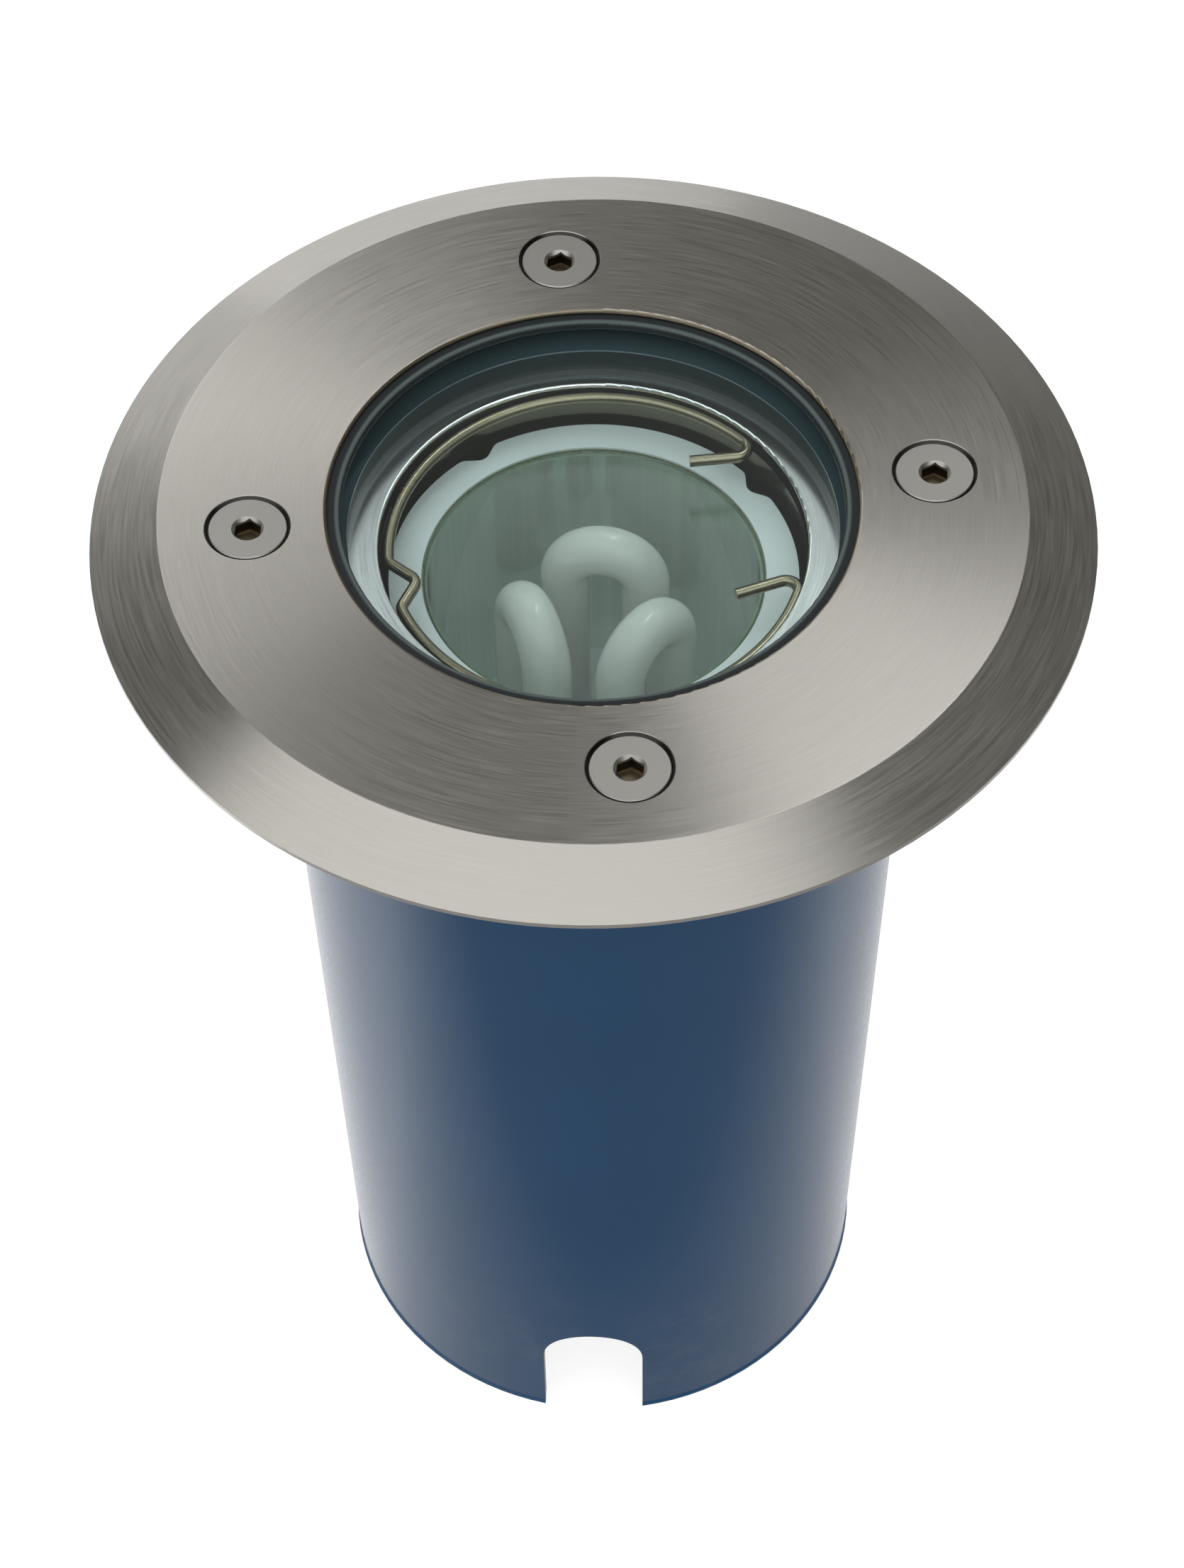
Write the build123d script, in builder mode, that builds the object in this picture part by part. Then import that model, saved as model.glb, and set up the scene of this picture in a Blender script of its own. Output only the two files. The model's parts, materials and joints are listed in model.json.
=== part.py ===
from build123d import *
from math import cos, radians, sin
import os

os.makedirs("parts", exist_ok=True)

# Recessed ground light, in millimetres, +Z up. The origin is on the axis, in the plane of the
# bezel's underside that lies on the paving, and the cable notch of the sleeve faces -Y.

# Bezel ring
bezel_diameter = 118.0
bezel_height = 4.3
bezel_edge_height = 0.6
bezel_slope_width = 8.2
bezel_lip = 0.6
bezel_edge_round = 0.3
opening_diameter = 62.2
opening_round = 0.4
locating_step = 0.5

# Cover screws, countersunk with hexagon sockets
cover_screw_count = 4
cover_screw_circle = 80.6
cover_screw_turn = 7.9
cover_screw_thread = 5.0
cover_screw_length = 12.0
cover_screw_head = 9.5
cover_screw_sink = 0.2
cover_screw_edge = 0.12
countersink_diameter = 10.2
countersink_angle = 90.0
socket_width = 3.0
socket_depth = 2.2
socket_mouth = 3.8
socket_turn = 87.0
cover_screw_end_chamfer = 0.6
screw_hole_play = 0.25
thread_play = 0.1

# Cover glass and its U-section gasket
glass_diameter = 67.0
glass_thickness = 6.0
glass_edge_chamfer = 0.5
gasket_wall = 1.2
gasket_upper_lip = 0.9
gasket_lower_lip = 2.4
gasket_upper_opening = 59.0
gasket_lower_opening = 58.0
gasket_lip_round = 0.6
gasket_play = 0.05

# Lamp housing
flange_margin = 5.7
flange_thickness = 11.0
pocket_play = 0.2
step_play = 0.5
bore_play = 0.95
bore_edge_round = 0.3
edge_margin = 0.01
pot_wall = 3.5
pot_floor = 3.5
pot_corner_round = 2.5
spigot_depth = 5.0
spigot_play = 0.5
spigot_slope = 4.0
thread_runout = 1.0
gland_boss_diameter = 24.0
gland_boss_height = 2.0
floor_boss_diameter = 8.0
floor_boss_height = 3.0

# Mounting sleeve
sleeve_top_diameter = 78.1
sleeve_foot_diameter = 71.6
sleeve_wall = 2.2
sleeve_length = 135.6
foot_bead = 0.2
foot_bead_height = 0.6
notch_width = 13.7
notch_height = 20.5

# Lamp clip, one bent spring wire
clip_wire = 1.4
clip_ring_diameter = 49.4
clip_offset = 0.4
clip_depth = 1.5
clip_turn = 15.4
clip_gap_half_angle = 23.7
clip_tip_half_angle = 37.0
clip_tip_radius = 18.2
clip_kink_half_angle = 8.5
clip_kink_radius = 21.2
clip_bend = 1.5
clip_groove_play = 0.3

# Lamp: reflector lamp with three bent tubes and a two-pin twist base
lamp_diameter = 49.0
lamp_rim_depth = 5.9
lamp_rim_thickness = 2.5
lamp_length = 72.5
lamp_barrel_step = 0.8
lamp_barrel_length = 36.0
lamp_cone_length = 20.0
lamp_neck_diameter = 30.0
lamp_neck_length = 2.0
lamp_shell_wall = 1.5
rim_notch_count = 4
rim_notch_turn = 37.5
rim_notch_width = 5.3
rim_notch_depth = 1.7
rim_notch_round = 1.5
lamp_glass_diameter = 41.0
lamp_glass_thickness = 0.8
lamp_glass_recess = 0.2
lamp_glass_play = 0.1
lamp_ledge = 0.6
liner_wall = 0.4
liner_play = 0.05
liner_length = 36.2
deck_thickness = 2.0
tube_count = 3
tube_turn = 82.7
tube_diameter = 6.0
tube_wall = 0.9
tube_spacing = 10.0
tube_circle_radius = 8.0
tube_glass_gap = 1.1
tube_hole_play = 0.1
tube_tail = 2.5
base_diameter = 27.6
base_wall = 1.8
base_floor = 3.0
base_play = 0.1
board_play = 0.2
board_thickness = 1.6
board_drop = 14.0
choke_width = 9.0
choke_height = 7.0
choke_corner_round = 1.0
capacitor_diameter = 8.0
capacitor_height = 8.0
component_offset = 6.0

# Lamp pins and the holder that they twist into
pin_spacing = 10.0
pin_neck = 3.2
pin_neck_length = 3.0
pin_head = 5.0
pin_head_length = 4.5
pin_head_round = 1.5
rivet_diameter = 4.6
rivet_height = 0.8
pin_hole_play = 0.05
twist_angle = 20.0
holder_gap = 0.2
holder_diameter = 30.0
holder_plate = 2.6
holder_height = 10.0
holder_cover_thickness = 2.4
keyhole_play = 0.3
pocket_inner = 1.6
pocket_outer = 9.3
pocket_half_width = 4.6
contact_thickness = 0.5
contact_width = 4.0
contact_play = 0.2
contact_height = 6.5
contact_foot = 2.4
contact_foot_width = 2.0

# Bracket, holder screws and nuts
sheet_thickness = 1.2
bracket_width = 27.0
bracket_span = 30.0
bracket_leg_width = 12.0
bracket_foot = 8.5
bracket_rise = 10.7
holder_screw_spacing = 22.0
small_screw_thread = 3.0
small_screw_head = 5.5
small_screw_head_height = 1.8
small_nut_width = 5.5
small_nut_height = 2.4
small_hole_play = 0.2
head_recess_play = 0.3
head_recess = 2.2
nut_overrun = 1.0
bracket_screw_length = 5.5

# Terminal block and leads
pole_pitch = 9.0
block_length = 26.4
block_width = 12.4
block_height = 8.5
insert_diameter = 4.4
insert_bore = 2.6
insert_length = 11.0
insert_play = 0.1
pole_drop = 4.2
clamp_screw = 2.2
clamp_screw_spacing = 6.4
clamp_screw_sink = 0.5
clamp_slot = 0.5
block_screw = 2.5
block_screw_head = 4.4
block_screw_head_height = 1.5
lead_diameter = 2.0
lead_channel_play = 0.2
lead_offset = 6.5
lead_outreach = 18.0
lead_bend = 2.8
lead_entry = 4.5

# Earth point
earth_reach = 19.0
earth_screw_thread = 4.0
earth_screw_head = 7.0
earth_screw_head_height = 2.4
earth_screw_length = 5.0
earth_tag_diameter = 7.2
earth_tag_thickness = 0.8
earth_washer_thickness = 0.8
earth_barrel_diameter = 3.2
earth_barrel_length = 4.0
earth_barrel_bore = 3.0
earth_lead_bend = 1.8
earth_lead_drop_reach = 9.8

# Cable gland
gland_thread = 16.0
gland_bore = 9.2
gland_hex = 20.0
gland_hex_height = 4.0
gland_neck_length = 6.5
gland_washer_diameter = 21.0
gland_washer_thickness = 1.5
gland_seal_bore = 8.4
gland_seal_diameter = 12.4
gland_seal_length = 6.0
gland_seal_play = 0.05
gland_nut_crown = 1.5
gland_nut_gap = 0.5
gland_nut_play = 0.2
gland_nut_chamfer = 1.0

# Radii and levels that follow from the sizes above
bezel_radius = bezel_diameter / 2
opening_radius = opening_diameter / 2
screw_circle_radius = cover_screw_circle / 2
glass_radius = glass_diameter / 2
glass_top = bezel_height - bezel_lip - gasket_upper_lip
glass_bottom = glass_top - glass_thickness
seat_level = glass_bottom - gasket_lower_lip
gasket_radius = glass_radius + gasket_play + gasket_wall
pocket_radius = gasket_radius + pocket_play
flange_radius = screw_circle_radius + flange_margin
flange_top = locating_step
flange_bottom = flange_top - flange_thickness
lamp_radius = lamp_diameter / 2
bore_radius = lamp_radius + bore_play
pot_radius = bore_radius + pot_wall
sleeve_foot = flange_bottom - sleeve_length
sleeve_mouth_radius = sleeve_top_diameter / 2 - sleeve_wall
clip_level = seat_level - clip_depth
clip_ring_radius = clip_ring_diameter / 2
rim_top = seat_level - lamp_rim_depth
lamp_glass_radius = lamp_glass_diameter / 2
lamp_glass_top = rim_top - lamp_glass_recess
lamp_glass_bottom = lamp_glass_top - lamp_glass_thickness
rim_bottom = rim_top - lamp_rim_thickness
liner_inner_radius = lamp_glass_radius - lamp_ledge
liner_radius = liner_inner_radius + liner_wall
liner_bottom = lamp_glass_bottom - liner_length
cone_top = rim_bottom - lamp_barrel_length
cone_bottom = cone_top - lamp_cone_length
neck_bottom = cone_bottom - lamp_neck_length
base_bottom = rim_top - lamp_length
holder_top = base_bottom - holder_gap
holder_bottom = holder_top - holder_height
cover_bottom = holder_bottom - holder_cover_thickness
bracket_top = cover_bottom
bracket_bottom = bracket_top - sheet_thickness
bracket_foot_level = bracket_bottom - bracket_rise
floor_level = bracket_foot_level - floor_boss_height
pot_bottom = floor_level - pot_floor
gland_seat = pot_bottom - gland_boss_height
pole_level = bracket_bottom - pole_drop
block_bottom = bracket_bottom - block_height
bracket_screw_reach = bracket_span / 2 + bracket_foot / 2


# Mounting sleeve: a tapered tube, open at both ends, with an arched notch for the cable
with BuildPart() as mounting_sleeve:
    top_radius = sleeve_top_diameter / 2
    foot_radius = sleeve_foot_diameter / 2
    with BuildSketch(Plane.XZ):
        Polygon(
            (top_radius - sleeve_wall, flange_bottom),
            (top_radius, flange_bottom),
            (foot_radius, sleeve_foot + foot_bead_height),
            (foot_radius + foot_bead, sleeve_foot + foot_bead_height / 2),
            (foot_radius + foot_bead, sleeve_foot),
            (foot_radius - sleeve_wall, sleeve_foot),
            align=None,
        )
    revolve(axis=Axis.Z)
    with BuildSketch(Plane.XZ):
        arch_radius = notch_width / 2
        arch_height = notch_height - arch_radius
        with Locations((0, sleeve_foot)):
            Rectangle(notch_width, 2 * arch_height)
        with Locations((0, sleeve_foot + arch_height)):
            Circle(arch_radius)
    extrude(amount=sleeve_top_diameter, mode=Mode.SUBTRACT)
mounting_sleeve.part.label = "mounting_sleeve"
export_step(mounting_sleeve.part, "parts/mounting_sleeve.step")

# Bezel ring: flat top, sloping rim, a lip over the glass and a step over the housing flange
with BuildPart() as bezel_ring:
    flat_radius = bezel_radius - bezel_slope_width
    with BuildSketch(Plane.XZ):
        Polygon(
            (opening_radius, bezel_height - bezel_lip),
            (opening_radius, bezel_height),
            (flat_radius, bezel_height),
            (bezel_radius, bezel_edge_height),
            (bezel_radius, 0),
            (flange_radius + step_play, 0),
            (flange_radius + step_play, locating_step),
            (pocket_radius, locating_step),
            (pocket_radius, bezel_height - bezel_lip),
            align=None,
        )
    revolve(axis=Axis.Z)
    top_circles = bezel_ring.edges().filter_by(GeomType.CIRCLE).group_by(Axis.Z)[-1]
    fillet(top_circles.sort_by(SortBy.RADIUS)[0], radius=opening_round)
    top_circles = bezel_ring.edges().filter_by(GeomType.CIRCLE).group_by(Axis.Z)[-1]
    fillet(top_circles.sort_by(SortBy.RADIUS)[-1], radius=bezel_edge_round)
    with Locations((0, 0, bezel_height)):
        with PolarLocations(screw_circle_radius, cover_screw_count, start_angle=cover_screw_turn):
            CounterSinkHole(
                radius=cover_screw_thread / 2 + screw_hole_play,
                counter_sink_radius=countersink_diameter / 2,
                counter_sink_angle=countersink_angle,
            )
bezel_ring.part.label = "bezel_ring"
export_step(bezel_ring.part, "parts/bezel_ring.step")

# Cover screws: flush heads with dulled edges, each with a hexagon socket that has a conical mouth
for number in range(cover_screw_count):
    angle = radians(cover_screw_turn + number * 360 / cover_screw_count)
    foot = (screw_circle_radius * cos(angle), screw_circle_radius * sin(angle), 0)
    screw_axis = Plane(origin=foot, x_dir=(cos(angle), sin(angle), 0), z_dir=(0, 0, 1))
    with BuildPart() as cover_screw:
        head_top = bezel_height - cover_screw_sink
        head_radius = cover_screw_head / 2
        shank_radius = cover_screw_thread / 2 - thread_play
        cone_height = head_radius - shank_radius
        mouth_radius = socket_mouth / 2
        screw_end = head_top - cover_screw_length
        with BuildSketch(Plane(origin=foot, x_dir=screw_axis.x_dir, z_dir=-screw_axis.y_dir)):
            Polygon(
                (0, head_top - mouth_radius),
                (mouth_radius, head_top),
                (head_radius - 2 * cover_screw_edge, head_top),
                (head_radius - cover_screw_edge, head_top - cover_screw_edge),
                (shank_radius, head_top - cone_height),
                (shank_radius, screw_end + cover_screw_end_chamfer),
                (shank_radius - cover_screw_end_chamfer, screw_end),
                (0, screw_end),
                align=None,
            )
        revolve(axis=Axis(foot, (0, 0, 1)))
        with BuildSketch(Plane(origin=foot, z_dir=(0, 0, 1)).offset(head_top)):
            RegularPolygon(socket_width / 2, side_count=6, major_radius=False, rotation=socket_turn)
        extrude(amount=-socket_depth, mode=Mode.SUBTRACT)
    cover_screw.part.label = f"cover_screw_{number + 1}"
    export_step(cover_screw.part, f"parts/cover_screw_{number + 1}.step")

# Cover glass: a thick disc with seamed edges
with BuildPart() as cover_glass:
    with Locations((0, 0, glass_bottom)):
        Cylinder(glass_radius, glass_thickness, align=(Align.CENTER, Align.CENTER, Align.MIN))
    chamfer(cover_glass.edges().filter_by(GeomType.CIRCLE), length=glass_edge_chamfer)
cover_glass.part.label = "cover_glass"
export_step(cover_glass.part, "parts/cover_glass.step")

# Glass gasket: a U section stretched round the edge of the glass
with BuildPart() as glass_gasket:
    upper_radius = gasket_upper_opening / 2
    lower_radius = gasket_lower_opening / 2
    wall_radius = glass_radius + gasket_play
    with BuildSketch(Plane.XZ):
        Polygon(
            (upper_radius, glass_top),
            (upper_radius, glass_top + gasket_upper_lip),
            (gasket_radius, glass_top + gasket_upper_lip),
            (gasket_radius, seat_level),
            (lower_radius, seat_level),
            (lower_radius, glass_bottom),
            (wall_radius, glass_bottom),
            (wall_radius, glass_top),
            align=None,
        )
    revolve(axis=Axis.Z)
    lip_edges = glass_gasket.edges().filter_by(GeomType.CIRCLE).group_by(Axis.Z)[-1]
    fillet(lip_edges.sort_by(SortBy.RADIUS)[0], radius=gasket_lip_round)
glass_gasket.part.label = "glass_gasket"
export_step(glass_gasket.part, "parts/glass_gasket.step")

# Lamp housing: flange, glass pocket, lamp bore with clip groove, and the pot in one casting
with BuildPart() as lamp_housing:
    groove_half = clip_wire / 2 + clip_groove_play
    groove_radius = clip_ring_radius + clip_offset + clip_wire / 2 + clip_groove_play
    spigot_radius = sleeve_mouth_radius - spigot_play
    spigot_bottom = flange_bottom - spigot_depth
    with BuildSketch(Plane.XZ):
        Polygon(
            (0, floor_level),
            (bore_radius, floor_level),
            (bore_radius, clip_level - groove_half),
            (groove_radius, clip_level - groove_half),
            (groove_radius, clip_level + groove_half),
            (bore_radius, clip_level + groove_half),
            (bore_radius, seat_level),
            (pocket_radius, seat_level),
            (pocket_radius, flange_top),
            (flange_radius, flange_top),
            (flange_radius, flange_bottom),
            (spigot_radius, flange_bottom),
            (spigot_radius, spigot_bottom),
            (pot_radius, spigot_bottom - spigot_slope),
            (pot_radius, pot_bottom),
            (0, pot_bottom),
            align=None,
        )
    revolve(axis=Axis.Z)
    seat_edges = lamp_housing.edges().filter_by(GeomType.CIRCLE)
    seat_edges = seat_edges.filter_by_position(Axis.Z, seat_level - edge_margin, seat_level + edge_margin)
    fillet(seat_edges.sort_by(SortBy.RADIUS)[0], radius=bore_edge_round)
    fillet(lamp_housing.edges().filter_by(GeomType.CIRCLE).group_by(Axis.Z)[0], radius=pot_corner_round)
    with Locations((0, 0, gland_seat)):
        Cylinder(
            gland_boss_diameter / 2,
            gland_boss_height + pot_floor / 2,
            align=(Align.CENTER, Align.CENTER, Align.MIN),
        )
    with Locations((0, 0, floor_level)):
        with Locations((bracket_screw_reach, 0), (-bracket_screw_reach, 0), (0, earth_reach)):
            Cylinder(
                floor_boss_diameter / 2,
                floor_boss_height,
                align=(Align.CENTER, Align.CENTER, Align.MIN),
            )
        Hole(gland_thread / 2 + thread_play)
    with Locations((0, 0, bracket_foot_level)):
        with Locations((bracket_screw_reach, 0), (-bracket_screw_reach, 0)):
            Hole(small_screw_thread / 2, depth=bracket_screw_length)
        with Locations((0, earth_reach)):
            Hole(earth_screw_thread / 2, depth=earth_screw_length)
    with Locations((0, 0, flange_top)):
        with PolarLocations(screw_circle_radius, cover_screw_count, start_angle=cover_screw_turn):
            Hole(
                cover_screw_thread / 2,
                depth=flange_top - bezel_height + cover_screw_sink + cover_screw_length + thread_runout,
            )
lamp_housing.part.label = "lamp_housing"
export_step(lamp_housing.part, "parts/lamp_housing.step")

# Lamp clip: an open wire ring in the groove, pushed to its open side by the kink opposite the two ends
with BuildPart() as lamp_clip:
    clip_plane = Plane(
        origin=(0, 0, clip_level),
        x_dir=(cos(radians(clip_turn)), sin(radians(clip_turn)), 0),
        z_dir=(0, 0, 1),
    )
    sweep_angle = 180 - clip_kink_half_angle - clip_gap_half_angle
    tip_angle = radians(clip_tip_half_angle)
    tip_x = clip_tip_radius * cos(tip_angle)
    tip_y = clip_tip_radius * sin(tip_angle)
    with BuildLine(clip_plane) as clip_route:
        ring_centre = (clip_offset, 0)
        first_arc = CenterArc(ring_centre, clip_ring_radius, clip_gap_half_angle, sweep_angle)
        second_arc = CenterArc(ring_centre, clip_ring_radius, 180 + clip_kink_half_angle, sweep_angle)
        Line((tip_x, tip_y), first_arc @ 0)
        Polyline(first_arc @ 1, (-clip_kink_radius, 0), second_arc @ 0)
        Line(second_arc @ 1, (tip_x, -tip_y))
        fillet(clip_route.vertices(), radius=clip_bend)
    with BuildSketch(Plane(origin=clip_route.line @ 0, z_dir=clip_route.line % 0)):
        Circle(clip_wire / 2)
    sweep()
lamp_clip.part.label = "lamp_clip"
export_step(lamp_clip.part, "parts/lamp_clip.step")

# Lamp shell: notched rim, barrel and cone
with BuildPart() as lamp_shell:
    barrel_radius = lamp_radius - lamp_barrel_step
    neck_radius = lamp_neck_diameter / 2
    rebate_radius = lamp_glass_radius + lamp_glass_play
    ledge_radius = liner_radius + liner_play
    rim_core_radius = barrel_radius - lamp_shell_wall / 2
    with BuildSketch(Plane.XZ):
        Polygon(
            (ledge_radius, lamp_glass_bottom),
            (rebate_radius, lamp_glass_bottom),
            (rebate_radius, rim_top),
            (rim_core_radius, rim_top),
            (rim_core_radius, rim_bottom),
            (barrel_radius, rim_bottom),
            (barrel_radius, cone_top),
            (neck_radius, cone_bottom),
            (neck_radius, neck_bottom),
            (neck_radius - lamp_shell_wall, neck_bottom),
            (neck_radius - lamp_shell_wall, cone_bottom),
            (barrel_radius - lamp_shell_wall, cone_top),
            (barrel_radius - lamp_shell_wall, rim_bottom),
            (ledge_radius, rim_bottom),
            align=None,
        )
    revolve(axis=Axis.Z)
    rim_plane = Plane(
        origin=(0, 0, rim_bottom),
        x_dir=(cos(radians(rim_notch_turn)), sin(radians(rim_notch_turn)), 0),
        z_dir=(0, 0, 1),
    )
    with BuildSketch(rim_plane) as rim_outline:
        Circle(lamp_radius)
        with PolarLocations(lamp_radius, rim_notch_count):
            Polygon(
                (-rim_notch_depth, 0),
                (rim_notch_depth, -rim_notch_width),
                (rim_notch_depth, rim_notch_width),
                align=None,
                mode=Mode.SUBTRACT,
            )
        fillet(rim_outline.vertices(), radius=rim_notch_round)
        Circle(rebate_radius, mode=Mode.SUBTRACT)
    extrude(amount=lamp_rim_thickness)
lamp_shell.part.label = "lamp_shell"
export_step(lamp_shell.part, "parts/lamp_shell.step")

# Lamp glass: the clear disc over the tubes, let into the rim
with BuildPart() as lamp_glass:
    with Locations((0, 0, lamp_glass_bottom)):
        Cylinder(
            lamp_glass_radius,
            lamp_glass_thickness,
            align=(Align.CENTER, Align.CENTER, Align.MIN),
        )
lamp_glass.part.label = "lamp_glass"
export_step(lamp_glass.part, "parts/lamp_glass.step")

# Lamp liner: the silvered wall round the tubes
with BuildPart() as lamp_liner:
    with BuildSketch(Plane.XY.offset(liner_bottom)):
        Circle(liner_radius)
        Circle(liner_inner_radius, mode=Mode.SUBTRACT)
    extrude(amount=liner_length)
lamp_liner.part.label = "lamp_liner"
export_step(lamp_liner.part, "parts/lamp_liner.step")

# Tube deck: closes the liner at the back, with a hole for each leg of the tubes
with BuildPart() as tube_deck:
    tube_radius = tube_diameter / 2
    with BuildSketch(Plane.XY.offset(liner_bottom)):
        Circle(liner_radius)
        with PolarLocations(tube_circle_radius, tube_count, start_angle=tube_turn):
            with Locations((0, tube_spacing / 2), (0, -tube_spacing / 2)):
                Circle(tube_radius + tube_hole_play, mode=Mode.SUBTRACT)
    extrude(amount=-deck_thickness)
tube_deck.part.label = "tube_deck"
export_step(tube_deck.part, "parts/tube_deck.step")

# Lamp tubes: each a bent tube with both legs in the deck
for number in range(tube_count):
    angle = radians(tube_turn + number * 360 / tube_count)
    outward = Vector(cos(angle), sin(angle), 0)
    along = Vector(-sin(angle), cos(angle), 0)
    with BuildPart() as lamp_tube:
        bend_radius = tube_spacing / 2
        bend_level = lamp_glass_bottom - tube_glass_gap - tube_radius - bend_radius
        tail_level = liner_bottom - deck_thickness - tube_tail
        bend_plane = Plane(origin=outward * tube_circle_radius, x_dir=along, z_dir=outward)
        with BuildLine(bend_plane) as tube_route:
            Line((bend_radius, tail_level), (bend_radius, bend_level))
            CenterArc((0, bend_level), bend_radius, 0, 180)
            Line((-bend_radius, bend_level), (-bend_radius, tail_level))
        with BuildSketch(Plane(origin=tube_route.line @ 0, z_dir=tube_route.line % 0)):
            Circle(tube_radius)
            Circle(tube_radius - tube_wall, mode=Mode.SUBTRACT)
        sweep()
    lamp_tube.part.label = f"lamp_tube_{number + 1}"
    export_step(lamp_tube.part, f"parts/lamp_tube_{number + 1}.step")

# Lamp base: the cup behind the neck, with the two pins through its floor
with BuildPart() as lamp_base:
    base_radius = base_diameter / 2
    plug_radius = neck_radius - lamp_shell_wall - base_play
    with BuildSketch(Plane.XZ):
        Polygon(
            (0, base_bottom),
            (base_radius, base_bottom),
            (base_radius, neck_bottom),
            (plug_radius, neck_bottom),
            (plug_radius, neck_bottom + lamp_neck_length),
            (plug_radius - base_wall, neck_bottom + lamp_neck_length),
            (plug_radius - base_wall, base_bottom + base_floor),
            (0, base_bottom + base_floor),
            align=None,
        )
    revolve(axis=Axis.Z)
    with Locations((0, 0, base_bottom + base_floor)):
        with PolarLocations(pin_spacing / 2, 2, start_angle=-twist_angle / 2):
            Hole(pin_neck / 2 + pin_hole_play)
lamp_base.part.label = "lamp_base"
export_step(lamp_base.part, "parts/lamp_base.step")

# Lamp pins: rivet, neck and head
with BuildPart() as lamp_pins:
    neck_end = base_bottom - pin_neck_length
    pin_end = neck_end - pin_head_length
    for side in (0, 180):
        angle = radians(side - twist_angle / 2)
        foot = (pin_spacing / 2 * cos(angle), pin_spacing / 2 * sin(angle), 0)
        with BuildSketch(Plane(origin=foot, x_dir=(1, 0, 0), z_dir=(0, -1, 0))):
            Polygon(
                (0, base_bottom + base_floor + rivet_height),
                (rivet_diameter / 2, base_bottom + base_floor + rivet_height),
                (rivet_diameter / 2, base_bottom + base_floor),
                (pin_neck / 2, base_bottom + base_floor),
                (pin_neck / 2, neck_end),
                (pin_head / 2, neck_end),
                (pin_head / 2, pin_end),
                (0, pin_end),
                align=None,
            )
        revolve(axis=Axis(foot, (0, 0, 1)))
    fillet(lamp_pins.edges().filter_by(GeomType.CIRCLE).group_by(Axis.Z)[0], radius=pin_head_round)
lamp_pins.part.label = "lamp_pins"
export_step(lamp_pins.part, "parts/lamp_pins.step")

# Ballast: a round board across the neck with a choke and a capacitor above it
board_level = cone_top - board_drop
board_share = (board_level - cone_bottom) / lamp_cone_length
board_radius = neck_radius + board_share * (barrel_radius - neck_radius) - lamp_shell_wall - board_play
with BuildPart() as ballast_board:
    with Locations((0, 0, board_level)):
        Cylinder(
            board_radius,
            board_thickness,
            align=(Align.CENTER, Align.CENTER, Align.MIN),
        )
ballast_board.part.label = "ballast_board"
export_step(ballast_board.part, "parts/ballast_board.step")

with BuildPart() as ballast_choke:
    with Locations((-component_offset, 0, board_level + board_thickness)):
        Box(choke_width, choke_width, choke_height, align=(Align.CENTER, Align.CENTER, Align.MIN))
    fillet(ballast_choke.edges().filter_by(Axis.Z), radius=choke_corner_round)
ballast_choke.part.label = "ballast_choke"
export_step(ballast_choke.part, "parts/ballast_choke.step")

with BuildPart() as ballast_capacitor:
    with Locations((component_offset, 0, board_level + board_thickness)):
        Cylinder(
            capacitor_diameter / 2,
            capacitor_height,
            align=(Align.CENTER, Align.CENTER, Align.MIN),
        )
ballast_capacitor.part.label = "ballast_capacitor"
export_step(ballast_capacitor.part, "parts/ballast_capacitor.step")

# Lamp holder: a ceramic block with keyhole slots over two contact pockets
with BuildPart() as lamp_holder:
    holder_radius = holder_diameter / 2
    with BuildSketch(Plane.XY.offset(holder_bottom)):
        Circle(holder_radius)
    extrude(amount=holder_height)
    with BuildSketch(Plane.XY.offset(holder_bottom)):
        for side in (1, -1):
            with Locations((side * (pocket_inner + pocket_outer) / 2, 0)):
                Rectangle(pocket_outer - pocket_inner, 2 * pocket_half_width)
    extrude(amount=holder_height - holder_plate, mode=Mode.SUBTRACT)
    with BuildSketch(Plane.XY.offset(holder_top)):
        for side in (0, 180):
            slot_arc = CenterArc((0, 0), pin_spacing / 2, side - twist_angle / 2, twist_angle)
            SlotArc(slot_arc, height=pin_neck + 2 * keyhole_play)
            with Locations(slot_arc @ 1):
                Circle(pin_head / 2 + keyhole_play)
    extrude(amount=-holder_plate, mode=Mode.SUBTRACT)
    with Locations((0, 0, holder_top)):
        with GridLocations(1, holder_screw_spacing, 1, 2):
            CounterBoreHole(
                radius=small_screw_thread / 2 + small_hole_play,
                counter_bore_radius=small_screw_head / 2 + head_recess_play,
                counter_bore_depth=head_recess,
            )
lamp_holder.part.label = "lamp_holder"
export_step(lamp_holder.part, "parts/lamp_holder.step")

# Holder cover: closes the pockets, with a channel for each lead
with BuildPart() as holder_cover:
    with BuildSketch(Plane.XY.offset(cover_bottom)):
        Circle(holder_radius)
        for side in (1, -1):
            with Locations((side * lead_offset, holder_radius / 2)):
                Rectangle(lead_diameter + 2 * lead_channel_play, holder_radius, mode=Mode.SUBTRACT)
    extrude(amount=holder_cover_thickness)
    with Locations((0, 0, holder_bottom)):
        with GridLocations(1, holder_screw_spacing, 1, 2):
            Hole(small_screw_thread / 2 + small_hole_play)
holder_cover.part.label = "holder_cover"
export_step(holder_cover.part, "parts/holder_cover.step")

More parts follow.
